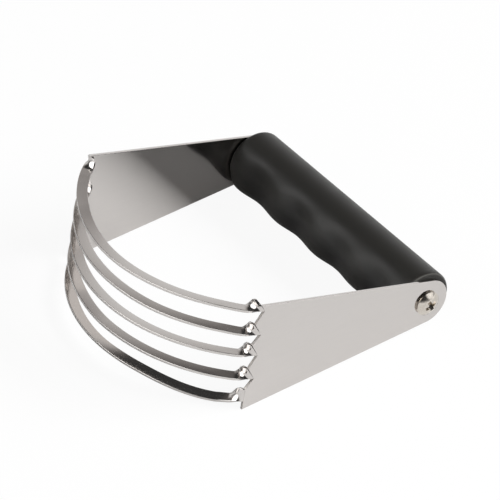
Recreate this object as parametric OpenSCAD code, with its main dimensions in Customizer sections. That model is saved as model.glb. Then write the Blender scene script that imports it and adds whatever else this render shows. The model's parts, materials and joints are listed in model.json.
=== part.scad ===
// Pastry blender: five curved blades between two cheek plates, with a finger-grooved hand grip.
// It lies as it does on a table: +Z up, X along the grip, the blades towards -Y.

/* [Frame] */
// Width over the outer faces of the two cheek plates
frame_w = 100; // [80:1:130]
// Thickness of the stamped steel sheet
sheet_t = 1; // [0.8:0.1:1.6]
// Grip axis to the front edge of a cheek plate
plate_len = 75; // [60:0.5:95]
// Height of a cheek plate at its front edge
front_h = 41.8; // [36:0.2:56]
// Radius of a cheek plate's rounded end at the grip
plate_end_r = 8.6; // [7:0.1:10]

/* [Blades] */
// Width of a blade, from its cutting edge to its inner edge
blade_w = 3.8; // [3:0.1:4.5]
// Width of a blade at its root on a plate
root_w = 4.9; // [4.5:0.1:5.5]
// How far the cutting arc bows out past the plates' front edges
blade_reach = 24.25; // [16:0.2:36]
// Upper corner of a plate's front edge down to the top blade
top_drop = 3.75; // [3:0.05:6]
// Lower corner of a plate's front edge up to the bottom blade
bottom_rise = 2.4; // [2:0.05:6]
// Depth of the slots' slanted ends behind the plates' front edges
slot_depth = 3.1; // [1:0.1:6]
// How far a blade rises from its middle to its roots
root_lift = 1; // [0:0.1:1.5]
// How far the even blades sit below an even spacing
even_drop = 0.6; // [0:0.05:1]
// Length of arc in which a blade twists from upright to level
twist_len = 4.5; // [3:0.1:9]
// Roll of the odd blades past level, inner edge down, in degrees
odd_roll = 6; // [0:0.5:15]
// Roll of the even blades past level, inner edge down, in degrees
even_roll = -1.5; // [-5:0.5:15]

/* [Handle] */
// Diameter of the soft grip at its back
grip_d = 20.8; // [18:0.1:26]
// Extra depth of the grip on the side that faces the blades
grip_bulge = 1.2; // [0:0.1:2]
// Extra swelling of the grip under the fingers, below the side that faces the blades
grip_heel = 1.05; // [0:0.05:1.2]
// Depth of a finger groove on the side that faces the blades
groove_depth = 1.2; // [0:0.1:2]
// Number of finger grooves
groove_count = 4; // [3:1:5]
// Spacing of the finger grooves
groove_pitch = 22.2; // [15:0.1:24]
// Radius of the grip's rounded ends
grip_end_r = 1.2; // [0.8:0.1:3]
// Diameter of the rigid core inside the grip
core_d = 12.4; // [11:0.2:14]
// Clear space between the soft grip and a cheek plate
grip_gap = 0.3; // [0.2:0.05:0.8]
// Running space between a cheek plate and what clamps it
clamp_gap = 0.05; // [0.02:0.01:0.1]

/* [Screws] */
// Diameter of a screw's shank
screw_d = 5; // [4:0.5:6]
// Diameter of a screw's pan head
head_d = 9.1; // [7.5:0.1:12]
// Height of a screw's pan head at its middle
head_h = 2.8; // [2.2:0.1:4]
// Height of the head's straight rim
rim_h = 1.1; // [0.8:0.1:2]
// Length of a screw's shank under its head
screw_len = 14; // [12:0.5:20]
// Radial running clearance of a shank in its plate
shank_gap = 0.06; // [0.02:0.01:0.1]
// Length across the cross recess
recess_l = 5; // [3:0.1:6]
// Width of an arm of the cross recess
recess_w = 1.2; // [0.8:0.1:1.6]
// Depth of the cross recess
recess_h = 2; // [1:0.1:2.5]
// Outer diameter of a threaded insert
insert_d = 7.2; // [6.8:0.1:9]
// Length of a threaded insert
insert_len = 10; // [6:0.5:11]

/* [Hidden] */
$fn = 96;

// Colours as they look
steel = [0.79, 0.77, 0.76];
charcoal = [0.16, 0.16, 0.165];
core_black = [0.09, 0.09, 0.09];
brass = [0.75, 0.6, 0.32];
nickel = [0.8, 0.78, 0.74];

// Half height of the front edge, and half of the wedge between a plate's long edges
half_h = front_h / 2;
corner_r = norm([half_h, plate_len]);
half_wedge = acos(plate_end_r / corner_r) - atan2(plate_len, half_h);

// Grip radius away from the grooves, at angle a from the side that faces the blades
grip_sides = 48;
grip_r = grip_d / 2;
function facing(a) = pow((1 + cos(a)) / 2, 1.5);
function crest_rad(a) = grip_r + grip_bulge * facing(a);

// Reach of the grip from its axis, in the direction at angle d from the blades' side
function grip_reach(d) = max([for (k = [0 : grip_sides - 1])
    let (a = 360 * k / grip_sides) crest_rad(a) * cos(a - d)]);

// Resting tilt: the grip and the plates' lower front corners touch the table
function tilt_on(low) = acos(low / corner_r) - atan2(plate_len, half_h);
first_tilt = tilt_on(grip_reach(90));
rest_tilt = tilt_on(grip_reach(90 + first_tilt));
axis_z = grip_reach(90 + rest_tilt);

// Cutting arc through both plates at their front edges
root_x = (frame_w - sheet_t) / 2;
arc_r = (root_x * root_x + blade_reach * blade_reach) / (2 * blade_reach);
arc_c = plate_len + blade_reach - arc_r;
arc_half = atan2(root_x, plate_len - arc_c);
twist_arc = twist_len / arc_r * 180 / PI;

// Blade levels, counted from the top blade
blade_count = 5;
blade_pitch = (front_h - top_drop - bottom_rise) / (blade_count - 1);
function is_even(i) = i % 2 == 0;
function level(i) = half_h - top_drop - (i - 1) * blade_pitch - (is_even(i) ? even_drop : 0);
function roll(i) = is_even(i) ? even_roll : odd_roll;

// Height of a plate's upper edge at distance u from the grip axis
function edge_at(u) = (plate_end_r + u * sin(half_wedge)) / cos(half_wedge);

// Root of blade i on a plate as [distance from the grip axis, level], low end and high end
slot_u = plate_len - slot_depth;
top_u = plate_len - slot_depth / 2;
function root_low(i) = [i == blade_count ? plate_len : slot_u, level(i) + root_lift];
function root_high(i) = i == 1 ? [top_u, edge_at(top_u)] : [plate_len, level(i) + root_lift + root_w];

// Place of the grip axis, with the whole object centred over the origin
low_u = plate_len + blade_reach + sin(roll(blade_count)) * sheet_t / 2;
low_v = level(blade_count) - cos(roll(blade_count)) * sheet_t / 2;
back_y = grip_reach(180 + rest_tilt);
front_y = -low_u * cos(rest_tilt) + low_v * sin(rest_tilt);
axis_y = -(back_y + front_y) / 2;

// Lengths inside the handle
inner_w = frame_w - 2 * sheet_t;
core_len = inner_w - 2 * clamp_gap;
grip_len = inner_w - 2 * grip_gap;
screw_tip_gap = 0.4;

// Rings of a blade
twist_steps = 8;
arc_steps = 32;
function ease(s) = s * s * (3 - 2 * s);
function mix(a, b, s) = a + (b - a) * s;
function unit(a) = a / norm(a);

// Point on the cutting arc, inward direction and outward direction at angle g
function on_arc(g) = [arc_r * sin(g), arc_c + arc_r * cos(g)];
function inward(g) = [-sin(g), -cos(g), 0];

// Section of blade i from its cutting edge p, width vector w and face normal n
function section(p, w, n) = let (m = unit(n - w * (n * w) / (w * w)) * sheet_t / 2)
    [p + m, p + w + m, p + w - m, p - m];

// Level of blade i at angle g along its arc, and its width at ring s of a root's twist
function level_at(i, g) = level(i) + root_lift * pow(g / arc_half, 4);
spread = 0.25;
function width_at(i, s) = let (span = root_high(i)[1] - root_low(i)[1])
    s < spread ? mix(span, root_w, s / spread) : mix(root_w, blade_w, (s - spread) / (1 - spread));

// Ring s of a root's twist, from 0 at the plate to 1 on the arc
function twist_ring(i, s) =
    let (lo = root_low(i), hi = root_high(i))
    let (g = arc_half - twist_arc * s, q = on_arc(g))
    let (t = (90 + roll(i)) * ease(s))
    let (p = [q[0], q[1] + (lo[0] - plate_len) * (1 - s) * (1 - s), level_at(i, g)])
    let (up = [0, (hi[0] - lo[0]) * (1 - s), width_at(i, s)])
    let (w = up * cos(t) + inward(g) * width_at(i, s) * sin(t))
    let (n = unit(mix([1, 0, 0], -inward(g), s)) * cos(t) + [0, 0, 1] * sin(t))
    s == 0
    ? [for (c = [[1, lo], [1, hi], [-1, hi], [-1, lo]]) [root_x + c[0] * sheet_t / 2, c[1][0], c[1][1]]]
    : section(p, w, n);

// Ring of the level part at angle g
function arc_ring(i, g) =
    let (q = on_arc(g), r = roll(i))
    section([q[0], q[1], level_at(i, g)],
            (inward(g) * cos(r) + [0, 0, -sin(r)]) * blade_w,
            inward(g) * sin(r) + [0, 0, cos(r)]);

function flip_x(ring) = [for (p = ring) [-p[0], p[1], p[2]]];

// Rings of blade i from the right root to the left root
function blade_rings(i) =
    let (twist = [for (k = [0 : twist_steps]) twist_ring(i, k / twist_steps)])
    let (g0 = arc_half - twist_arc)
    let (bow = [for (k = [1 : arc_steps - 1]) arc_ring(i, g0 * (1 - 2 * k / arc_steps))])
    concat(twist, bow, [for (k = [twist_steps : -1 : 0]) flip_x(twist[k])]);

// Closed skin over rings of equal size, in triangles
module skin(rings) {
    m = len(rings[0]);
    n = len(rings);
    points = [for (r = rings) for (p = r) p];
    sides = [for (j = [0 : n - 2]) for (k = [0 : m - 1])
        let (a = j * m + k, b = j * m + (k + 1) % m)
        for (f = [[a, a + m, b + m], [a, b + m, b]]) f];
    start = [for (k = [1 : m - 2]) [0, k, k + 1]];
    last = (n - 1) * m;
    end = [for (k = [1 : m - 2]) [last, last + k + 1, last + k]];
    polyhedron(points = points, faces = concat(sides, start, end));
}

// From the frame's own axes, with the grip axis at the origin, to the resting place
module lie() {
    translate([0, axis_y, axis_z]) rotate([-rest_tilt, 0, 0]) children();
}

// Round rod along X from x0, with radius r and length l
module rod(x0, r, l) {
    translate([x0, 0, 0]) rotate([0, 90, 0]) cylinder(r = r, h = l);
}

// Outline of a cheek plate, with the blades' roots and the slots' ends along its front edge
end_sides = 48;
module plate_outline() {
    zigzag = [for (i = [1 : blade_count]) for (p = [root_high(i), root_low(i)]) [-p[0], p[1]]];
    round_end = [for (k = [0 : end_sides]) let (a = (90 - half_wedge) * (2 * k / end_sides - 1))
        plate_end_r * [cos(a), sin(a)]];
    difference() {
        polygon(concat(zigzag, [[-plate_len, -half_h]], round_end));
        circle(r = screw_d / 2 + shank_gap);
    }
}

module cheek_plate(x0) {
    color(steel) lie() translate([x0, 0, 0]) rotate([90, 0, 90])
        linear_extrude(height = sheet_t) plate_outline();
}

module right_cheek_plate() {
    cheek_plate(frame_w / 2 - sheet_t);
}

module left_cheek_plate() {
    cheek_plate(-frame_w / 2);
}

module blade(i) {
    color(steel) lie() skin([for (r = blade_rings(i)) [for (p = r) [p[0], -p[1], p[2]]]]);
}

module blade_1() {
    blade(1);
}

module blade_2() {
    blade(2);
}

module blade_3() {
    blade(3);
}

module blade_4() {
    blade(4);
}

module blade_5() {
    blade(5);
}

// Rigid core: carries the inserts, and the plates bear on its ends
module handle_core() {
    color(core_black) lie() difference() {
        rod(-core_len / 2, core_d / 2, core_len);
        for (side = [0, 1]) mirror([side, 0, 0]) {
            rod(core_len / 2 - insert_len, insert_d / 2, insert_len + 1);
            rod(frame_w / 2 + clamp_gap - screw_len - screw_tip_gap,
                screw_d / 2 + screw_tip_gap, screw_len);
        }
    }
}

// Grip radius at x along it and at angle a from the side that faces the blades
end_steps = 6;
mid_steps = 40;
function wave(x) = let (edge = groove_count * groove_pitch / 2)
    abs(x) > edge ? 0 : (1 - cos(360 * (x + edge) / groove_pitch)) / 2;
function end_drop(x) = let (d = abs(x) - (grip_len / 2 - grip_end_r))
    d <= 0 ? 0 : grip_end_r - sqrt(max(0, grip_end_r * grip_end_r - d * d));
// The swelling sits 45 degrees below the blades' side and dies away before the grip's lowest point
heel_angle = 45;
heel_spread = 22;
function heel(a) = let (d = (a > 180 ? a - 360 : a) + heel_angle)
    grip_heel * exp(-pow(d / heel_spread, 2));
function grip_rad(x, a) = crest_rad(a) + heel(a) - groove_depth * wave(x) * facing(a) - end_drop(x);

// Stations along the grip, closer together on its rounded ends
grip_mid = grip_len / 2 - grip_end_r;
grip_stations = concat(
    [for (k = [0 : end_steps - 1]) -grip_mid - grip_end_r * cos(90 * k / end_steps)],
    [for (k = [0 : mid_steps]) grip_mid * (2 * k / mid_steps - 1)],
    [for (k = [end_steps - 1 : -1 : 0]) grip_mid + grip_end_r * cos(90 * k / end_steps)]);

// Soft grip moulded round the core
module soft_grip() {
    color(charcoal) lie() difference() {
        skin([for (x = grip_stations) [for (k = [0 : grip_sides - 1])
            let (a = 360 * k / grip_sides, r = grip_rad(x, a)) [x, -r * cos(a), r * sin(a)]]]);
        rod(-inner_w / 2, core_d / 2, inner_w);
    }
}

// Threaded insert, set flush in the core's end
module insert_right() {
    color(brass) difference() {
        rod(core_len / 2 - insert_len, insert_d / 2, insert_len);
        rod(core_len / 2 - insert_len - 1, screw_d / 2, insert_len + 2);
    }
}

module right_insert() {
    lie() insert_right();
}

module left_insert() {
    lie() mirror([1, 0, 0]) insert_right();
}

// Half profile of a screw as [radius, distance out along the axis], from its tip to the top of its head
dome_steps = 8;
dome_h = head_h - rim_h;
dome_r = (head_d * head_d / 4 + dome_h * dome_h) / (2 * dome_h);
dome_half = asin(head_d / 2 / dome_r);
tip_bevel = 0.6;
screw_profile = concat(
    [[0, -screw_len], [screw_d / 2 - tip_bevel, -screw_len], [screw_d / 2, tip_bevel - screw_len],
     [screw_d / 2, 0], [head_d / 2, 0]],
    [for (k = [0 : dome_steps]) let (g = dome_half * (1 - k / dome_steps))
        [dome_r * sin(g), head_h - dome_r * (1 - cos(g))]]);

// One arm of the cross recess: a bar that narrows towards the bottom of the recess
module recess_arm() {
    rotate([90, 0, 0]) linear_extrude(height = recess_w, center = true)
        polygon([[-recess_w / 2, head_h - recess_h], [recess_w / 2, head_h - recess_h],
                 [recess_l / 2, head_h + 0.5], [-recess_l / 2, head_h + 0.5]]);
}

// Pan-head screw with a cross recess, through the plate and into the insert
module screw_right() {
    color(nickel) translate([frame_w / 2 + clamp_gap, 0, 0]) rotate([0, 90, 0]) difference() {
        rotate_extrude() polygon(screw_profile);
        recess_arm();
        rotate([0, 0, 90]) recess_arm();
    }
}

module right_screw() {
    lie() screw_right();
}

module left_screw() {
    lie() mirror([1, 0, 0]) screw_right();
}

right_cheek_plate();
left_cheek_plate();
blade_1();
blade_2();
blade_3();
blade_4();
blade_5();
handle_core();
soft_grip();
right_insert();
left_insert();
right_screw();
left_screw();
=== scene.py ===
import json
import math

import bpy
from mathutils import Matrix, Vector


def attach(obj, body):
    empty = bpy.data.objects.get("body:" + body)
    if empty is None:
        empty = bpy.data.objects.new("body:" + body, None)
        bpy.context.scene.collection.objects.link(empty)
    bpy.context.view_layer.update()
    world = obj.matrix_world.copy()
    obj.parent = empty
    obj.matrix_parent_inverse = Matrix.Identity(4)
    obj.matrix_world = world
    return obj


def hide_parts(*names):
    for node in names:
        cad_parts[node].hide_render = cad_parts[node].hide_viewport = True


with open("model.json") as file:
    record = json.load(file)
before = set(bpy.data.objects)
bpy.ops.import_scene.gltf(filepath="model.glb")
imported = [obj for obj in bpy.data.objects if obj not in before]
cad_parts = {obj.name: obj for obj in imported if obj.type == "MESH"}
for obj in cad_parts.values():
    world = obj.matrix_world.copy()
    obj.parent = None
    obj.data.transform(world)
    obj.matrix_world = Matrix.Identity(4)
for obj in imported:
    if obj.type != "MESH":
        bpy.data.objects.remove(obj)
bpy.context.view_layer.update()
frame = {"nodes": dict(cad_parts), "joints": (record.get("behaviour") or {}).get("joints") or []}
mm = 0.001
weldGap = 0.002 * mm

# the tool's own axes: grip axis at the origin, blades towards -Y, then tipped nose up as it rests
restTilt = 7.63954      # degrees
gripAxis = Vector(frame["joints"][0]["pos_m"])
lying = Matrix.Translation(gripAxis) @ Matrix.Rotation(-math.radians(restTilt), 4, "X")

# sizes of the stamped frame that several pieces share, in mm
sheetThick = 1.0
plateLength = 75.0
plateSpan = 100.0
frontHeight = 41.8
endRadius = 8.6
print("frame loaded:", len(frame["nodes"]), "nodes")


# helpers for objects and edit mode

def deselectAll():
    if bpy.context.object and bpy.context.object.mode != "OBJECT":
        bpy.ops.object.mode_set(mode="OBJECT")
    bpy.ops.object.select_all(action="DESELECT")


def pick(obj):
    deselectAll()
    obj.select_set(True)
    bpy.context.view_layer.objects.active = obj
    return obj


def named(name):
    obj = bpy.context.object
    obj.name = name
    obj.data.name = name
    return obj


def editMode(mode="VERT"):
    bpy.ops.object.mode_set(mode="EDIT")
    bpy.ops.mesh.select_mode(type=mode)


def objectMode():
    bpy.ops.object.mode_set(mode="OBJECT")


def choose(obj, mode, test):
    # selects the edges or the faces that pass the test, and stays in edit mode
    editMode(mode)
    bpy.ops.mesh.select_all(action="DESELECT")
    objectMode()
    for item in obj.data.edges if mode == "EDGE" else obj.data.polygons:
        item.select = test(item)
    editMode(mode)


def applyAll(obj):
    pick(obj)
    for modifier in list(obj.modifiers):
        bpy.ops.object.modifier_apply(modifier=modifier.name)


def recalcNormals(obj):
    pick(obj)
    editMode()
    bpy.ops.mesh.select_all(action="SELECT")
    bpy.ops.mesh.remove_doubles(threshold=weldGap)
    bpy.ops.mesh.normals_make_consistent(inside=False)
    objectMode()


def smooth(obj, degrees):
    pick(obj)
    bpy.ops.object.shade_smooth_by_angle(angle=math.radians(degrees))


def layDown(obj):
    # from the tool's own axes to the resting place, with the place kept in the mesh
    pick(obj)
    obj.matrix_world = lying @ obj.matrix_world
    bpy.ops.object.transform_apply(location=True, rotation=True, scale=True)


def finishPiece(obj, body, nodes, material):
    obj.data.materials.clear()
    obj.data.materials.append(material)
    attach(obj, body)
    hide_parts(*nodes)
    return obj


# materials

noiseLow, noiseHigh = 0.3, 0.7      # between these lie most values of a noise texture


def linear(hexColour):
    def toLinear(c):
        return c / 12.92 if c <= 0.04045 else ((c + 0.055) / 1.055) ** 2.4
    parts = [int(hexColour[i:i + 2], 16) / 255 for i in (1, 3, 5)]
    return tuple(toLinear(c) for c in parts) + (1.0,)


def addNode(tree, kind, settings=None, **inputs):
    # one node with its settings, its fixed inputs and its links; stops fill a colour ramp
    node = tree.nodes.new(kind)
    for key, value in (settings or {}).items():
        if key != "stops":
            setattr(node, key, value)
            continue
        elements = node.color_ramp.elements
        while len(elements) < len(value):
            elements.new(0.5)
        for element, (place, colour) in zip(elements, value):
            element.position = place
            element.color = colour
    for key, value in inputs.items():
        byNumber = key[0] == "i" and key[1:].isdigit()
        socket = node.inputs[int(key[1:]) if byNumber else key.replace("_", " ")]
        if isinstance(value, bpy.types.NodeSocket):
            tree.links.new(value, socket)
        else:
            socket.default_value = value
    return node


def newMaterial(name):
    material = bpy.data.materials.new(name)
    material.use_nodes = True
    tree = material.node_tree
    tree.nodes.clear()
    return material, tree


steelLook = {
    "colour": "#cbc7c4",        # warm light grey of rolled stainless
    "colourDull": "#c7c3c0",
    "colourLancedShade": "#a8a4a0",  # torn edges at the ends of the slots, their tint darkened as painted shade
    "roughLanced": 0.4,         # added to the roughness there
    "roughPlate": (0.06, 0.12),
    "roughBlade": (0.10, 0.20),
    "bumpPlate": 0.03,
    "bumpBlade": 0.10,
    "grainDepth": 0.02,         # mm
    "grainAcross": 0.12,        # mm between grain lines, drawn as coarse as it needs to show
    "grainAlong": 9.0,          # mm that a grain line runs
    "grainStrip": (14.0, 80.0, 1.0),    # the same on a strip, which is about 125 mm long and 9 mm round
    "cloud": 14.0,              # mm across the duller patches that handling leaves
    "cloudShare": 0.4,          # of the change in roughness; the grain has the rest
}


def steelMaterial(name, rough, coords, scale, turn, grainBump):
    # polished stainless sheet: clear reflections, faint drawn-out grain from the rolling
    material, tree = newMaterial(name)
    place = addNode(tree, "ShaderNodeTexCoord")
    drawn = addNode(tree, "ShaderNodeMapping", Vector=place.outputs[coords], Scale=scale, Rotation=turn)
    grain = addNode(tree, "ShaderNodeTexNoise", Vector=drawn.outputs["Vector"], Scale=1.0, Detail=3.0,
                    Roughness=0.6)
    cloud = addNode(tree, "ShaderNodeTexNoise", Vector=place.outputs["Object"],
                    Scale=1 / (steelLook["cloud"] * mm), Detail=2.0)
    colour = addNode(tree, "ShaderNodeValToRGB", {"stops": [
        (noiseLow, linear(steelLook["colourDull"])), (noiseHigh, linear(steelLook["colour"]))]},
        Fac=grain.outputs["Fac"])
    dull = addNode(tree, "ShaderNodeMath", {"operation": "MULTIPLY"}, i0=cloud.outputs["Fac"],
                   i1=steelLook["cloudShare"])
    worn = addNode(tree, "ShaderNodeMath", {"operation": "MULTIPLY_ADD"}, i0=grain.outputs["Fac"],
                   i1=1 - steelLook["cloudShare"], i2=dull.outputs["Value"])
    roughness = addNode(tree, "ShaderNodeMapRange", Value=worn.outputs["Value"], From_Min=noiseLow,
                        From_Max=noiseHigh, To_Min=rough[0], To_Max=rough[1])
    lanced = addNode(tree, "ShaderNodeAttribute", {"attribute_name": "lanced"})
    # torn edges: a darker tint that is painted shade, and more roughness that is the torn edge's own
    tint = addNode(tree, "ShaderNodeMix", {"data_type": "RGBA"}, i0=lanced.outputs["Fac"],
                   i6=colour.outputs["Color"], i7=linear(steelLook["colourLancedShade"]))
    torn = addNode(tree, "ShaderNodeMath", {"operation": "MULTIPLY_ADD"}, i0=lanced.outputs["Fac"],
                   i1=steelLook["roughLanced"], i2=roughness.outputs["Result"])
    bump = addNode(tree, "ShaderNodeBump", Height=grain.outputs["Fac"], Strength=grainBump,
                   Distance=steelLook["grainDepth"] * mm)
    shader = addNode(tree, "ShaderNodeBsdfPrincipled", Base_Color=tint.outputs[2], Metallic=1.0,
                     Roughness=torn.outputs["Value"], Normal=bump.outputs["Normal"])
    addNode(tree, "ShaderNodeOutputMaterial", Surface=shader.outputs["BSDF"])
    return material


grainFine = 1 / (steelLook["grainAcross"] * mm)
grainLong = 1 / (steelLook["grainAlong"] * mm)
plateSteel = steelMaterial("rolled stainless sheet", steelLook["roughPlate"], "Object",
                           (grainFine, grainLong, grainFine), (math.radians(restTilt), 0, 0),
                           steelLook["bumpPlate"])
bladeSteel = steelMaterial("drawn stainless strip", steelLook["roughBlade"], "UV", steelLook["grainStrip"],
                           (0, 0, 0), steelLook["bumpBlade"])

rubberLook = {
    "shades": (                 # painted shade in the finger grooves, the rubber's own tone on the ridges, painted highlight on the rounded ends
        (0.05, "#161514"), (0.5, "#292826"), (0.9, "#504f4c")),
    "paintedLightShare": 0.5,           # place in the shades of a painted light value of 1, which is the rubber's own tone
    "blotch": 0.2,              # how far patches move it
    "rough": (0.38, 0.48),
    "ior": 1.33,
    "grit": 0.35,               # mm, spark-eroded mould grain, drawn coarser than it is so that it shows
    "gritDepth": 0.05,          # mm
    "gritBump": 0.18,
    "patch": 18.0,              # mm across the patches that the hand has smoothed
}


def rubberMaterial(name):
    # moulded thermoplastic rubber: charcoal, satin, fine even grit with handled smoother patches
    material, tree = newMaterial(name)
    place = addNode(tree, "ShaderNodeTexCoord")
    grit = addNode(tree, "ShaderNodeTexNoise", Vector=place.outputs["Object"],
                   Scale=1 / (rubberLook["grit"] * mm), Detail=2.0, Roughness=0.5)
    patch = addNode(tree, "ShaderNodeTexNoise", Vector=place.outputs["Object"],
                    Scale=1 / (rubberLook["patch"] * mm), Detail=3.0, Roughness=0.55)
    # painted light from the grip's mesh: painted shade in the grooves and over the top, painted highlight on
    # the rounded ends
    worn = addNode(tree, "ShaderNodeAttribute", {"attribute_name": "worn"})
    blotch = addNode(tree, "ShaderNodeMath", {"operation": "MULTIPLY_ADD"}, i0=patch.outputs["Fac"],
                     i1=rubberLook["blotch"], i2=-rubberLook["blotch"] / 2)
    shade = addNode(tree, "ShaderNodeMath", {"operation": "MULTIPLY_ADD"}, i0=worn.outputs["Fac"],
                    i1=rubberLook["paintedLightShare"], i2=blotch.outputs["Value"])
    colour = addNode(tree, "ShaderNodeValToRGB", {"stops": [
        (wear, linear(hexColour)) for wear, hexColour in rubberLook["shades"]]}, Fac=shade.outputs["Value"])
    roughness = addNode(tree, "ShaderNodeMapRange", Value=patch.outputs["Fac"], From_Min=noiseLow,
                        From_Max=noiseHigh, To_Min=rubberLook["rough"][1], To_Max=rubberLook["rough"][0])
    bump = addNode(tree, "ShaderNodeBump", Height=grit.outputs["Fac"], Strength=rubberLook["gritBump"],
                   Distance=rubberLook["gritDepth"] * mm)
    shader = addNode(tree, "ShaderNodeBsdfPrincipled", Base_Color=colour.outputs["Color"],
                     IOR=rubberLook["ior"], Roughness=roughness.outputs["Result"],
                     Normal=bump.outputs["Normal"])
    addNode(tree, "ShaderNodeOutputMaterial", Surface=shader.outputs["BSDF"])
    return material


# specks in mm
nickelLook = {"stains": ((0.35, "#bdb6ac"), (0.65, "#cfc9c1")), "rough": (0.10, 0.22), "speck": 0.5}
brassLook = {"stains": ((0.35, "#b5934c"), (0.65, "#c8a860")), "rough": (0.22, 0.36), "speck": 0.4}
speckBump = 0.1
speckDepth = 0.02       # mm


def turnedMaterial(name, look):
    # turned metal, plain or plated: specks and a faint stain that break the gloss
    material, tree = newMaterial(name)
    place = addNode(tree, "ShaderNodeTexCoord")
    speck = addNode(tree, "ShaderNodeTexNoise", Vector=place.outputs["Object"],
                    Scale=1 / (look["speck"] * mm), Detail=4.0, Roughness=0.65)
    colour = addNode(tree, "ShaderNodeValToRGB", {"stops": [
        (level, linear(hexColour)) for level, hexColour in look["stains"]]}, Fac=speck.outputs["Fac"])
    roughness = addNode(tree, "ShaderNodeMapRange", Value=speck.outputs["Fac"], From_Min=noiseLow,
                        From_Max=noiseHigh, To_Min=look["rough"][1], To_Max=look["rough"][0])
    bump = addNode(tree, "ShaderNodeBump", Height=speck.outputs["Fac"], Strength=speckBump,
                   Distance=speckDepth * mm)
    shader = addNode(tree, "ShaderNodeBsdfPrincipled", Base_Color=colour.outputs["Color"], Metallic=1.0,
                     Roughness=roughness.outputs["Result"], Normal=bump.outputs["Normal"])
    addNode(tree, "ShaderNodeOutputMaterial", Surface=shader.outputs["BSDF"])
    return material


nylonLook = {"dark": "#161617", "light": "#1e1e1f", "flow": 3, "rough": 0.6, "ior": 1.53}     # flow in mm


def nylonMaterial(name):
    # moulded black nylon of the hidden core: matt, with cloudy flow marks
    material, tree = newMaterial(name)
    place = addNode(tree, "ShaderNodeTexCoord")
    flow = addNode(tree, "ShaderNodeTexNoise", Vector=place.outputs["Object"],
                   Scale=1 / (nylonLook["flow"] * mm), Detail=2.0)
    colour = addNode(tree, "ShaderNodeValToRGB", {"stops": [
        (noiseLow, linear(nylonLook["dark"])), (noiseHigh, linear(nylonLook["light"]))]},
        Fac=flow.outputs["Fac"])
    shader = addNode(tree, "ShaderNodeBsdfPrincipled", Base_Color=colour.outputs["Color"],
                     Roughness=nylonLook["rough"], IOR=nylonLook["ior"])
    addNode(tree, "ShaderNodeOutputMaterial", Surface=shader.outputs["BSDF"])
    return material


gripRubber = rubberMaterial("moulded soft rubber")
nickelPlate = turnedMaterial("nickel plated steel", nickelLook)
insertBrass = turnedMaterial("turned brass", brassLook)
coreNylon = nylonMaterial("moulded nylon")
hiddenLooks = {"handle_core": coreNylon, "right_insert": insertBrass, "left_insert": insertBrass}
for node, material in hiddenLooks.items():
    nodeMesh = frame["nodes"][node].data
    nodeMesh.materials.clear()
    nodeMesh.materials.append(material)
print("materials made:", len(bpy.data.materials))


# blades: strips bowed on one arc, each twisted upright where it meets a plate; lengths in mm

bladeShape = {
    "count": 5,
    "width": 3.8,
    "rootWidth": 4.9,
    "reach": 24.25,
    "topDrop": 3.75,
    "bottomRise": 2.4,
    "slotDepth": 3.1,
    "rootLift": 1.0,            # mm that a strip climbs towards its roots
    "liftPower": 4,             # how late along the arc it climbs
    "evenDrop": 0.6,            # mm that the second and fourth strips lie lower
    "twistLength": 8.0,         # mm of arc that each twist takes the place of
    "turnKnots": (              # place along the twist, share of the quarter turn, and its slope there
        (0, 0, 0), (0.09, 0.12, 1.7), (0.52, 0.88, 1.6), (0.66, 1, 0)),
    "rootSlant": 0.45,          # share of the twist in which the slanted root line squares up
    "spread": 0.3,              # share in which a narrow root grows to the root width
    "narrow": 0.6,              # share by which it is down to the blade's width
    "rolls": {                  # degrees: mean, half change, where it changes and over what angle of arc
        1: (0.9, -3.2, -25, 9),
        2: (0.7, 5.3, 10, 30),
        3: (4.4, 2.2, 20, 20),
        4: (0.1, 4.9, 9, 24),
        5: (-2.5, 9, 4, 7),
    },
    "sags": {                   # bends of each strip: place along the half arc, mm up, and how far it spreads
        1: ((-0.05, -0.6, 0.5), (0.75, 0.45, 0.4)),
        2: ((0.8, 0.45, 0.5),),
        3: ((0.0, -0.6, 0.9),),
        4: ((-0.4, 0.6, 0.4),),
        5: ((0.82, -1.35, 0.5),),
    },
    "sagEnd": 0.98,             # place near the right root by which every bend has died away
    "crown": 0.02,              # mm that the strip's face bulges
    "crownWhole": 0.5,          # twist lengths past a twist by which it does so in full
    "edgeRound": 0.1,
    "cornerSteps": 3,
    "alongSteps": 240,
    "acrossSteps": 8,
    "twistShare": 0.4,          # of the rings along a strip, in its two twists
    "rootTouch": 0.03,          # mm within which a point counts as on a root line
    "rootDepth": 0.6,           # mm from the middle of the sheet within which it counts
    "smooth": 40,               # degrees up to which two faces are shaded as one
}
halfHeight = frontHeight / 2
cornerReach = math.hypot(halfHeight, plateLength)
halfWedge = math.acos(endRadius / cornerReach) - math.atan2(plateLength, halfHeight)
rootX = (plateSpan - sheetThick) / 2
arcRadius = (rootX ** 2 + bladeShape["reach"] ** 2) / (2 * bladeShape["reach"])
arcCentre = plateLength + bladeShape["reach"] - arcRadius
arcHalf = math.atan2(rootX, plateLength - arcCentre)
twistArc = bladeShape["twistLength"] / arcRadius
slotFoot = plateLength - bladeShape["slotDepth"]
slotTop = plateLength - bladeShape["slotDepth"] / 2
twistStep, surfaceStep = 0.001, 0.0005      # small steps that give the direction of a curve and of a surface


def bladeLevel(i):
    pitch = (frontHeight - bladeShape["topDrop"] - bladeShape["bottomRise"]) / (bladeShape["count"] - 1)
    drop = bladeShape["evenDrop"] if i % 2 == 0 else 0
    return halfHeight - bladeShape["topDrop"] - (i - 1) * pitch - drop


def rootEnds(i):
    # low and high end of a blade's root on a plate, as distance from the grip axis and level
    level = bladeLevel(i) + bladeShape["rootLift"]
    low = (plateLength if i == bladeShape["count"] else slotFoot, level)
    edge = (endRadius + slotTop * math.sin(halfWedge)) / math.cos(halfWedge)
    high = (slotTop, edge) if i == 1 else (plateLength, level + bladeShape["rootWidth"])
    return low, high


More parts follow.
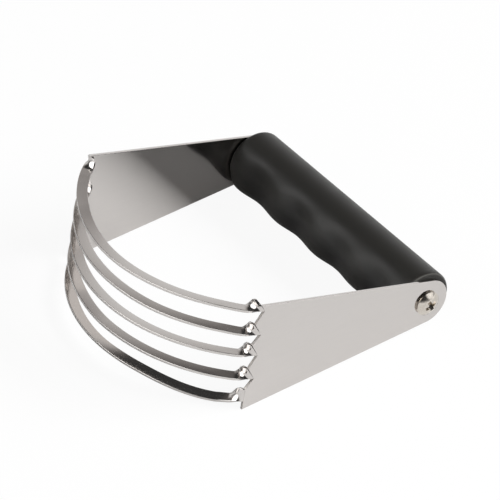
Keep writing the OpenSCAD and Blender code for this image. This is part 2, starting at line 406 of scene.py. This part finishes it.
def bladeSag(i, x):
    # mm that a hand-bent strip stands above its even level at x, from -1 at the left root to 1 at the right
    total = 0
    for place, rise, spread in bladeShape["sags"][i]:
        u = (x - place) / (spread if x < place else min(spread, bladeShape["sagEnd"] - place))
        total += rise * (1 - u * u) ** 2 if abs(u) < 1 else 0
    return total


def mix(a, b, s):
    return a + (b - a) * s


def settle(t):
    # from 0 to 1 with no kink at either end, and 1 from there on
    t = min(1, t)
    return t * t * (3 - 2 * t)


def ease(a, slopeA, b, slopeB, t):
    # smooth curve from a to b that starts and ends with the given slopes
    return (a * (1 + 2 * t) * (1 - t) ** 2 + slopeA * t * (1 - t) ** 2
            + b * t * t * (3 - 2 * t) + slopeB * t * t * (t - 1))


def twistTurn(s):
    # share of the quarter turn at s: flat with the plate at first, then at an even rate, over by two thirds
    knots = bladeShape["turnKnots"]
    for (s0, f0, m0), (s1, f1, m1) in zip(knots, knots[1:]):
        if s <= s1:
            return ease(f0, m0 * (s1 - s0), f1, m1 * (s1 - s0), (s - s0) / (s1 - s0))
    return 1.0


def arcPoint(bend):
    return Vector((arcRadius * math.sin(bend), arcCentre + arcRadius * math.cos(bend), 0))


def twistPath(low, s):
    # cutting edge in plan: it leaves the plate in the plate's own plane and runs onto the arc
    bend = arcHalf - twistArc
    start = Vector((rootX, low[0], 0))
    end = arcPoint(bend)
    reach = (end - start).length
    return ease(start, Vector((0, reach, 0)), end, Vector((-math.cos(bend), math.sin(bend), 0)) * reach, s)


def bladePoint(i, g, across):
    # g is the angle along the arc, across goes from the cutting edge to the inner edge
    side = 1 if g >= 0 else -1
    bend = abs(g)
    rootRise = bladeShape["rootLift"] * (bend / arcHalf) ** bladeShape["liftPower"]
    lift = Vector((0, 0, bladeLevel(i) + rootRise + bladeSag(i, g / arcHalf)))
    mean, half, middle, spread = bladeShape["rolls"][i]
    roll = math.radians(mean - half * math.tanh((math.degrees(g) - middle) / spread))
    s = (arcHalf - bend) / twistArc
    if s < 1:
        low, high = rootEnds(i)
        foot = twistPath(low, s) + lift
        along = (twistPath(low, s + twistStep) - twistPath(low, s - twistStep)).normalized()
        inward = Vector((-along.y, along.x, 0))
        width = mix(bladeShape["rootWidth"], bladeShape["width"], settle(s / bladeShape["narrow"]))
        width = mix(high[1] - low[1], width, settle(s / bladeShape["spread"]))
        turn = (math.pi / 2 + roll) * twistTurn(s)
        slant = (high[0] - low[0]) * (1 - settle(s / bladeShape["rootSlant"]))
        reach = (Vector((0, 0, math.cos(turn))) + inward * math.sin(turn)) * width + along * slant
        point = foot + reach * across
    else:
        inward = Vector((-math.sin(bend), -math.cos(bend), 0))
        reach = (inward * math.cos(roll) - Vector((0, 0, math.sin(roll)))) * bladeShape["width"]
        face = inward * math.sin(roll) + Vector((0, 0, math.cos(roll)))
        grown = min(1, (s - 1) / bladeShape["crownWhole"])
        rise = bladeShape["crown"] * (1 - (2 * across - 1) ** 2) * grown
        point = arcPoint(bend) + lift + reach * across + face * rise
    return Vector((side * point.x, -point.y, point.z)) * mm


def alongAngle(t):
    # more rings in the twists than on the bow
    share = 1 - bladeShape["twistShare"]
    if abs(t) > share:
        return math.copysign(arcHalf - twistArc * (1 - abs(t)) / (1 - share), t)
    return t / share * (arcHalf - twistArc)


def onRoot(i, p):
    # whether a point of the tool, in mm, lies on the line along which blade i grows out of a plate
    low, high = rootEnds(i)
    start, end = Vector((-low[0], low[1])), Vector((-high[0], high[1]))
    along = (end - start).normalized()
    r = Vector((p.y, p.z)) - start
    touch = bladeShape["rootTouch"]
    near = abs(r.x * along.y - r.y * along.x) < touch and abs(p.x) > rootX - bladeShape["rootDepth"]
    return near and -touch < r.dot(along) < (end - start).length + touch


def stripSection():
    # places round the strip's cross-section: share across the width and mm out from the middle of the sheet
    radius = bladeShape["edgeRound"]
    share = radius / bladeShape["width"]
    flat = sheetThick / 2 - radius
    steps = [n / bladeShape["cornerSteps"] * math.pi / 2 for n in range(bladeShape["cornerSteps"] + 1)]
    inner = [n / bladeShape["acrossSteps"] for n in range(1, bladeShape["acrossSteps"])]
    rise = [(share * (1 - math.cos(a)), flat + radius * math.sin(a)) for a in steps]
    face = [(across, sheetThick / 2) for across in [2 * share] + inner + [1 - 2 * share]]
    top = rise + face + [(1 - across, out) for across, out in rise[::-1]]
    return top + [(across, -out) for across, out in top[::-1]] + top[:1]


def stripNormal(i, g, across):
    step = surfaceStep
    inside = min(max(g, step - arcHalf), arcHalf - step)
    middle = min(max(across, step), 1 - step)
    along = bladePoint(i, inside + step, across) - bladePoint(i, inside - step, across)
    over = bladePoint(i, g, middle + step) - bladePoint(i, g, middle - step)
    return along.cross(over).normalized()


def makeBlade(i):
    # a grid whose rows run round the section, so that its last row closes on the first
    section = stripSection()
    deselectAll()
    bpy.ops.mesh.primitive_grid_add(x_subdivisions=bladeShape["alongSteps"],
                                    y_subdivisions=len(section) - 1, size=2)
    blade = named("blade_strip_%d" % i)
    for vertex in blade.data.vertices:
        g = alongAngle(vertex.co.x)
        across, out = section[round((vertex.co.y + 1) / 2 * (len(section) - 1))]
        vertex.co = bladePoint(i, g, across) + stripNormal(i, g, across) * out * mm
    recalcNormals(blade)
    editMode()
    bpy.ops.mesh.select_all(action="DESELECT")
    bpy.ops.mesh.select_non_manifold()
    bpy.ops.mesh.fill_holes(sides=0)
    objectMode()
    recalcNormals(blade)
    layDown(blade)
    smooth(blade, bladeShape["smooth"])
    return finishPiece(blade, "frame", ["blade_%d" % i], bladeSteel)


blades = [makeBlade(i) for i in range(1, bladeShape["count"] + 1)]
print("blades made:", len(blades), "with", sum(len(b.data.polygons) for b in blades), "faces")


# cheek plates: stamped outline, cut edges broken, left sharp where a blade grows out; lengths in mm

plateShape = {
    "edgeBreak": 0.15,
    "segments": 3,
    "weld": 0.001,              # mm
    "flat": 1,                  # degrees within which neighbouring CAD faces become one
    "cheek": 0.9,               # part of a normal across the tool that tells a cheek from a cut edge
    "sharp": 0.5,               # cosine under which two faces meet in a sharp edge
    "lancedDepth": 0.3,         # mm behind the feet of the slots at which torn edges begin
    "forward": 0.3,             # part of a normal towards the blades from which a cut edge is a torn one
    "smooth": 12,
}


def makePlate(name, node):
    mesh = frame["nodes"][node].data.copy()
    plate = bpy.data.objects.new(name, mesh)
    mesh.name = name
    bpy.context.scene.collection.objects.link(plate)
    pick(plate)
    editMode()
    bpy.ops.mesh.select_all(action="SELECT")
    bpy.ops.mesh.remove_doubles(threshold=plateShape["weld"] * mm)
    bpy.ops.mesh.dissolve_limited(angle_limit=math.radians(plateShape["flat"]))
    objectMode()
    toTool = lying.inverted()
    points = [toTool @ v.co / mm for v in plate.data.vertices]
    normalsAt = {}
    for polygon in plate.data.polygons:
        for key in polygon.edge_keys:
            normalsAt.setdefault(key, []).append(polygon.normal.copy())

    def isRim(edge):
        # between a cheek and a cut edge, but not where a blade grows out of the plate
        normals = normalsAt.get(tuple(sorted(edge.vertices)), [])
        if len(normals) != 2 or normals[0].dot(normals[1]) >= plateShape["sharp"]:
            return False
        if abs(normals[0].x) + abs(normals[1].x) <= plateShape["cheek"]:
            return False
        a, b = (points[v] for v in edge.vertices)
        roots = range(1, bladeShape["count"] + 1)
        return not all(any(onRoot(i, p) for i in roots) for p in (a, b, (a + b) / 2))
    choose(plate, "EDGE", isRim)
    bpy.ops.mesh.bevel(offset=plateShape["edgeBreak"] * mm, segments=plateShape["segments"], affect="EDGES",
                       clamp_overlap=True)
    objectMode()
    lanced = plate.data.attributes.new("lanced", "FLOAT", "FACE")
    for polygon in plate.data.polygons:     # edges that face forward, at the ends of the slots
        normal = toTool.to_3x3() @ polygon.normal
        atFront = -(toTool @ polygon.center).y / mm > slotFoot - plateShape["lancedDepth"]
        torn = atFront and abs(normal.x) < plateShape["cheek"] and normal.y < -plateShape["forward"]
        lanced.data[polygon.index].value = 1.0 if torn else 0.0
    smooth(plate, plateShape["smooth"])
    return finishPiece(plate, "frame", [node], plateSteel)


plates = [makePlate("right_plate", "right_cheek_plate"), makePlate("left_plate", "left_cheek_plate")]
print("plates made:", [len(p.data.polygons) for p in plates])


# soft grip: a moulded sleeve, plain at the back, with finger grooves towards the blades; lengths in mm

gripShape = {
    "diameter": 20.8,
    "bulge": 1.2,
    "bulgePower": 1.5,          # how soon the bulge dies away from the blade side
    "grooveDepth": 1.2,
    "grooves": 4,
    "groovePitch": 22.2,
    "lip": (15, 55),            # degrees above the blade side over which a groove runs out
    "heel": 1.05,               # mm that it swells under the fingers
    "heelAngle": -45,           # degrees above the blade side
    "heelSpread": 22,
    "endRound": (1.5, 1.2),     # mm along the grip and into it
    "endRounder": 1.4,          # share by which the ends are rounder under the fingers
    "endSpread": 44,            # degrees
    "endRings": (0.84, 0.96, 0.97),     # t where an end's rounding starts, where it stops, and the bore's
    "rimHighlightPower": 10,             # how narrow the painted highlight on the rounding is
    "topShadeAmount": 0.4,         # painted shade that darkens the top
    "topFrom": 60,              # degrees above the blade side
    "topOver": 35,
    "length": 97.4,
    "bore": 12.4,
    "sides": 112,
    "cuts": 99,
    "smooth": 50,
}


def grooveWave(x):
    # 0 on the ridges between the fingers, 1 in the middle of a groove
    edge = gripShape["grooves"] * gripShape["groovePitch"] / 2
    return 0 if abs(x) > edge else (1 - math.cos(2 * math.pi * (x + edge) / gripShape["groovePitch"])) / 2


def grooveShare(a):
    # how deep a groove is at an angle above the blade side: it runs out on top in a soft lip
    low, high = gripShape["lip"]
    return 1 - settle(max(0, (math.degrees(a) - low) / (high - low)))


def underFingers(a, spread):
    # 1 at the heel of the fingers, dying away round the grip
    return math.exp(-((math.degrees(a) - gripShape["heelAngle"]) / spread) ** 2)


def gripRadius(x, a):
    facing = ((1 + math.cos(a)) / 2) ** gripShape["bulgePower"]
    groove = gripShape["grooveDepth"] * grooveWave(x) * grooveShare(a)
    heel = gripShape["heel"] * underFingers(a, gripShape["heelSpread"])
    return gripShape["diameter"] / 2 + heel + (gripShape["bulge"] - groove) * facing


def gripStation(t, angle):
    # place along the grip, inset from its surface and share of the painted highlight on the rim, for t from
    # -1 at one bore to 1 at the other; the ends are rounder under the fingers
    half = gripShape["length"] / 2
    rounder = 1 + gripShape["endRounder"] * underFingers(angle, gripShape["endSpread"])
    long, deep = (size * rounder for size in gripShape["endRound"])
    roundFrom, roundTo, boreFrom = gripShape["endRings"]
    side = 1 if t >= 0 else -1
    t = abs(t)
    if t > boreFrom:
        return side * half, None, 0.0
    if t > roundFrom:
        a = min((t - roundFrom) / (roundTo - roundFrom), 1) * math.pi / 2
        # a painted highlight along the rounding of each end
        rim = math.sin(2 * a) ** gripShape["rimHighlightPower"]
        return side * (half - long * (1 - math.sin(a))), deep * (1 - math.cos(a)), rim
    return side * t / roundFrom * (half - long), 0.0, 0.0


def makeGrip():
    deselectAll()
    bpy.ops.mesh.primitive_cylinder_add(vertices=gripShape["sides"], radius=1, depth=2,
                                        end_fill_type="NOTHING", rotation=(0, math.pi / 2, 0))
    grip = named("grip_sleeve")
    bpy.ops.object.transform_apply(location=True, rotation=True, scale=True)
    ends = [v.co.x for v in grip.data.vertices]
    choose(grip, "EDGE", lambda edge: ends[edge.vertices[0]] * ends[edge.vertices[1]] < 0)
    bpy.ops.mesh.subdivide(number_cuts=gripShape["cuts"])
    objectMode()
    worn = grip.data.attributes.new("worn", "FLOAT", "POINT")
    for vertex in grip.data.vertices:
        angle = math.atan2(vertex.co.z, -vertex.co.y)
        x, inset, rim = gripStation(vertex.co.x, angle)
        radius = gripShape["bore"] / 2 if inset is None else gripRadius(x, angle) - inset
        vertex.co = Vector((x, -radius * math.cos(angle), radius * math.sin(angle))) * mm
        # painted shade in the finger grooves, deepest on the side facing the blades
        paintedGrooveShade = grooveWave(x) * grooveShare(angle) * max(0, math.cos(angle))
        # painted shade over the top
        overTop = settle(max(0, math.degrees(angle) - gripShape["topFrom"]) / gripShape["topOver"])
        paintedTopShade = gripShape["topShadeAmount"] * overTop
        # painted light: shade lowers it in the grooves and over the top, the rim's painted highlight raises
        # it
        worn.data[vertex.index].value = 1 + rim - paintedGrooveShade - paintedTopShade
    editMode("EDGE")
    bpy.ops.mesh.select_all(action="SELECT")
    bpy.ops.mesh.remove_doubles(threshold=weldGap)
    bpy.ops.mesh.select_all(action="DESELECT")
    bpy.ops.mesh.select_non_manifold()
    bpy.ops.mesh.bridge_edge_loops()
    objectMode()
    recalcNormals(grip)
    layDown(grip)
    smooth(grip, gripShape["smooth"])
    return finishPiece(grip, "handle", ["soft_grip"], gripRubber)


grip = makeGrip()
print("grip made:", len(grip.data.polygons), "faces")


# pan-head screws: domed head, cross recess, plain shank, modelled once and copied; lengths in mm

screwShape = {
    "headDiameter": 9.1,
    "headHeight": 2.6,
    "rimHeight": 0.7,
    "undercut": 0.45,           # mm by which the head draws in under its rim
    "shank": 5.0,
    "length": 14.0,
    "tipBevel": 0.6,
    "domeSteps": 10,
    "recessLength": 5.8,
    "recessWidth": 1.35,
    "recessDepth": 2.0,
    "cutAbove": 0.5,            # mm that the recess's cutter stands out of the head
    "endNormal": 0.9,           # part of a normal along the axis from which a face is an end
    "softEdge": 0.12,
    "softSegments": 2,
    "softFrom": 38,             # degrees at which an edge is softened
    "clampGap": 0.05,
    "turn": 28,                 # degrees that the recess is turned on its axis
    "sides": 64,
    "smooth": 35,
}


def recessArms():
    # the two tapered arms that cut the cross, placed as in modelScrew
    top = screwShape["headHeight"] + screwShape["cutAbove"]
    foot = screwShape["headHeight"] - screwShape["recessDepth"]
    arms = []
    for turn in (0, 90):
        deselectAll()
        bpy.ops.mesh.primitive_cube_add(size=1, location=(0, 0, (top + foot) / 2))
        arm = bpy.context.object
        arm.scale = (screwShape["recessLength"], screwShape["recessWidth"], top - foot)
        bpy.ops.object.transform_apply(location=True, rotation=False, scale=True)
        for vertex in arm.data.vertices:
            if vertex.co.z < (top + foot) / 2:
                vertex.co.x *= screwShape["recessWidth"] / screwShape["recessLength"]
        arm.rotation_euler = (0, 0, math.radians(turn))
        bpy.ops.object.transform_apply(location=False, rotation=True, scale=False)
        arms.append(arm)
    return arms


def modelScrew(name):
    # along its own axis, in millimetres until it is done, with the head's underside at z = 0
    head = screwShape["headDiameter"] / 2
    rise = screwShape["headHeight"] - screwShape["rimHeight"]
    ball = (head ** 2 + rise ** 2) / (2 * rise)
    half = math.asin(head / ball)
    deselectAll()
    bpy.ops.mesh.primitive_cylinder_add(vertices=screwShape["sides"], radius=head,
                                        depth=screwShape["rimHeight"],
                                        location=(0, 0, screwShape["rimHeight"] / 2))
    screw = named(name)
    bpy.ops.object.transform_apply(location=True, rotation=True, scale=True)
    choose(screw, "FACE", lambda face: face.normal.z > screwShape["endNormal"])
    radius, height = head, screwShape["rimHeight"]
    for step in range(1, screwShape["domeSteps"]):
        a = half * (1 - step / screwShape["domeSteps"])
        newRadius = ball * math.sin(a)
        newHeight = screwShape["headHeight"] - ball * (1 - math.cos(a))
        bpy.ops.mesh.extrude_region_move(TRANSFORM_OT_translate={"value": (0, 0, newHeight - height)})
        factor = newRadius / radius
        bpy.ops.transform.resize(value=(factor, factor, 1), center_override=(0, 0, newHeight))
        radius, height = newRadius, newHeight
    objectMode()
    choose(screw, "FACE", lambda face: face.normal.z < -screwShape["endNormal"])
    under = 1 - screwShape["undercut"] / head
    bpy.ops.transform.resize(value=(under, under, 1), center_override=(0, 0, 0))
    bpy.ops.mesh.inset(thickness=head * under - screwShape["shank"] / 2)
    drop = screwShape["tipBevel"] - screwShape["length"]
    bpy.ops.mesh.extrude_region_move(TRANSFORM_OT_translate={"value": (0, 0, drop)})
    bpy.ops.mesh.extrude_region_move(TRANSFORM_OT_translate={"value": (0, 0, -screwShape["tipBevel"])})
    tip = 1 - screwShape["tipBevel"] / (screwShape["shank"] / 2)
    bpy.ops.transform.resize(value=(tip, tip, 1), center_override=(0, 0, -screwShape["length"]))
    objectMode()
    for arm in recessArms():
        cut = screw.modifiers.new("recess", "BOOLEAN")
        cut.operation = "DIFFERENCE"
        cut.solver = "EXACT"
        cut.object = arm
        applyAll(screw)
        bpy.data.objects.remove(arm)
    soft = screw.modifiers.new("edges", "BEVEL")
    soft.width = screwShape["softEdge"]
    soft.segments = screwShape["softSegments"]
    soft.limit_method = "ANGLE"
    soft.angle_limit = math.radians(screwShape["softFrom"])
    applyAll(screw)
    for vertex in screw.data.vertices:
        vertex.co *= mm
    return screw


def copyPiece(obj, name):
    # a copy with its own mesh
    twin = obj.copy()
    twin.data = obj.data.copy()
    twin.name = name
    twin.data.name = name
    bpy.context.scene.collection.objects.link(twin)
    return twin


def seatScrew(screw, node, side):
    seat = (plateSpan / 2 + screwShape["clampGap"]) * mm
    screw.matrix_world = (Matrix.Translation((side * seat, 0, 0))
                          @ Matrix.Rotation(side * math.pi / 2, 4, "Y")
                          @ Matrix.Rotation(math.radians(screwShape["turn"]), 4, "Z"))
    pick(screw)
    bpy.ops.object.transform_apply(location=True, rotation=True, scale=True)
    recalcNormals(screw)
    layDown(screw)
    smooth(screw, screwShape["smooth"])
    return finishPiece(screw, "handle", [node], nickelPlate)


rightScrew = modelScrew("right_pan_screw")
leftScrew = copyPiece(rightScrew, "left_pan_screw")
screws = [seatScrew(rightScrew, "right_screw", 1), seatScrew(leftScrew, "left_screw", -1)]
print("screws made:", [len(s.data.polygons) for s in screws])


# camera at the photograph's angle

cameraSet = {
    "lens": 360,
    "sensor": 36,
    "clip": (0.05, 50),
    "place": (1.06544, -0.80333, 1.06821),
    "azimuth": 52.7282,
    "elevation": 38.1196,
    "roll": 1.8435,
}


def makeCamera():
    data = bpy.data.cameras.new("camera")
    data.lens = cameraSet["lens"]
    data.sensor_width = cameraSet["sensor"]
    data.clip_start, data.clip_end = cameraSet["clip"]
    camera = bpy.data.objects.new("camera", data)
    bpy.context.scene.collection.objects.link(camera)
    turn = (Matrix.Rotation(math.radians(cameraSet["azimuth"]), 4, "Z")
            @ Matrix.Rotation(math.radians(90 - cameraSet["elevation"]), 4, "X")
            @ Matrix.Rotation(math.radians(cameraSet["roll"]), 4, "Z"))
    camera.matrix_world = Matrix.Translation(cameraSet["place"]) @ turn
    bpy.context.scene.camera = camera


makeCamera()

# studio: white floor, one large soft light behind on the right, weak light in front
# and a white sweep that darkens upwards

studio = {
    "key": {"place": (2.22, 1.97, 1.5), "aim": (2.12, 0, 0.02), "size": (3.2, 1.1), "power": 235,
            "colour": "#ffffff"},
    "front": {"place": (0.03, -0.98, 0.77), "aim": (0, 0, 0.02), "size": (1.3, 1.3), "power": 5.7,
              "colour": "#ffffff"},
    "floorSize": 40.0,
    "floorDrop": 0.05,          # mm below the part
    "floorColour": "#f4f4f4",
    "cameraWhite": 0.93,        # share of plain white in what the camera sees of the floor
    "glossyWhite": 0.02,        # and in what shiny surfaces see of it
    "sweepSide": (-0.71, 0.71, 0),      # the white sweep rises behind on the left
    "sweepEdge": (0.3, 0.65),   # cosines between which it begins
    "sweepTones": (             # sine of the height and tone, of the sweep and then of the rest of the room
        (0.0, (1, 1, 1, 1)), (0.27, (0.97, 0.97, 0.97, 1)), (0.36, (0.82, 0.81, 0.80, 1)),
        (0.50, (0.50, 0.48, 0.47, 1)), (0.62, (0.14, 0.13, 0.125, 1)), (0.70, (0.05, 0.05, 0.05, 1))),
    "roomTones": (
        (0.0, (0.7, 0.7, 0.7, 1)), (0.12, (0.3, 0.3, 0.3, 1)), (0.25, (0.05, 0.05, 0.05, 1))),
    "diffusers": (              # what shiny surfaces see of the lamps: direction, cosines of the rim, glow
        ((0.656, 0.591, 0.469), (0.86, 0.94), 1.4), ((-0.22, -0.80, 0.558), (0.80, 0.89), 3.6)),
}


def makeLamp(name):
    spec = studio[name]
    data = bpy.data.lights.new(name, "AREA")
    data.shape = "RECTANGLE"
    data.size, data.size_y = spec["size"]
    data.energy = spec["power"]
    data.color = linear(spec["colour"])[:3]
    lamp = bpy.data.objects.new(name, data)
    bpy.context.scene.collection.objects.link(lamp)
    lamp.location = spec["place"]
    lamp.rotation_euler = (Vector(spec["aim"]) - Vector(spec["place"])).to_track_quat("-Z", "Y").to_euler()
    lamp.visible_glossy = False     # the diffusers are drawn in the world instead


makeLamp("key")
makeLamp("front")


def makeFloor():
    deselectAll()
    bpy.ops.mesh.primitive_plane_add(size=studio["floorSize"], location=(0, 0, -studio["floorDrop"] * mm))
    floor = named("floor")
    material, tree = newMaterial("white paper sweep")
    path = addNode(tree, "ShaderNodeLightPath")
    paper = addNode(tree, "ShaderNodeBsdfDiffuse", Color=linear(studio["floorColour"]))
    white = addNode(tree, "ShaderNodeEmission", Color=(1, 1, 1, 1), Strength=1.0)
    seen = addNode(tree, "ShaderNodeMath", {"operation": "MAXIMUM"}, i0=path.outputs["Is Camera Ray"],
                   i1=path.outputs["Is Transmission Ray"])
    share = addNode(tree, "ShaderNodeMath", {"operation": "MULTIPLY"}, i0=seen.outputs["Value"],
                    i1=studio["cameraWhite"])
    gloss = addNode(tree, "ShaderNodeMath", {"operation": "MULTIPLY_ADD"}, i0=path.outputs["Is Glossy Ray"],
                    i1=studio["glossyWhite"], i2=share.outputs["Value"])
    both = addNode(tree, "ShaderNodeMixShader", i0=gloss.outputs["Value"], i1=paper.outputs["BSDF"],
                   i2=white.outputs["Emission"])
    addNode(tree, "ShaderNodeOutputMaterial", Surface=both.outputs["Shader"])
    floor.data.materials.append(material)


makeFloor()


def makeWorld():
    world = bpy.data.worlds.new("studio")
    bpy.context.scene.world = world
    world.use_nodes = True
    tree = world.node_tree
    tree.nodes.clear()
    path = addNode(tree, "ShaderNodeLightPath")
    place = addNode(tree, "ShaderNodeTexCoord")
    height = addNode(tree, "ShaderNodeSeparateXYZ", Vector=place.outputs["Generated"])
    sweep = addNode(tree, "ShaderNodeValToRGB", {"stops": studio["sweepTones"]}, Fac=height.outputs["Z"])
    dim = addNode(tree, "ShaderNodeValToRGB", {"stops": studio["roomTones"]}, Fac=height.outputs["Z"])
    aside = addNode(tree, "ShaderNodeVectorMath", {"operation": "DOT_PRODUCT"}, i0=place.outputs["Generated"],
                    i1=studio["sweepSide"])
    behind = addNode(tree, "ShaderNodeMapRange", Value=aside.outputs["Value"],
                     From_Min=studio["sweepEdge"][0], From_Max=studio["sweepEdge"][1])
    walls = addNode(tree, "ShaderNodeMix", {"data_type": "RGBA"}, i0=behind.outputs["Result"],
                    i6=dim.outputs["Color"], i7=sweep.outputs["Color"])
    room = walls.outputs[2]
    for direction, rim, shine in studio["diffusers"]:
        towards = addNode(tree, "ShaderNodeVectorMath", {"operation": "DOT_PRODUCT"},
                          i0=place.outputs["Generated"], i1=direction)
        share = addNode(tree, "ShaderNodeMapRange", Value=towards.outputs["Value"], From_Min=rim[0],
                        From_Max=rim[1])
        lit = addNode(tree, "ShaderNodeMix", {"data_type": "RGBA"}, i0=share.outputs["Result"], i6=room,
                      i7=(shine, shine, shine, 1))
        room = lit.outputs[2]
    dark = addNode(tree, "ShaderNodeBackground", Strength=0.0)      # matt surfaces are lit by the lamps alone
    metal = addNode(tree, "ShaderNodeBackground", Color=room, Strength=1.0)
    white = addNode(tree, "ShaderNodeBackground", Color=(1, 1, 1, 1), Strength=1.0)
    first = addNode(tree, "ShaderNodeMixShader", i0=path.outputs["Is Glossy Ray"],
                    i1=dark.outputs["Background"], i2=metal.outputs["Background"])
    seen = addNode(tree, "ShaderNodeMath", {"operation": "MAXIMUM"}, i0=path.outputs["Is Camera Ray"],
                   i1=path.outputs["Is Transmission Ray"])
    last = addNode(tree, "ShaderNodeMixShader", i0=seen.outputs["Value"], i1=first.outputs["Shader"],
                   i2=white.outputs["Background"])
    addNode(tree, "ShaderNodeOutputWorld", Surface=last.outputs["Shader"])


makeWorld()
bpy.context.scene.view_settings.view_transform = "Standard"
print("studio made")

deselectAll()
bpy.context.view_layer.update()
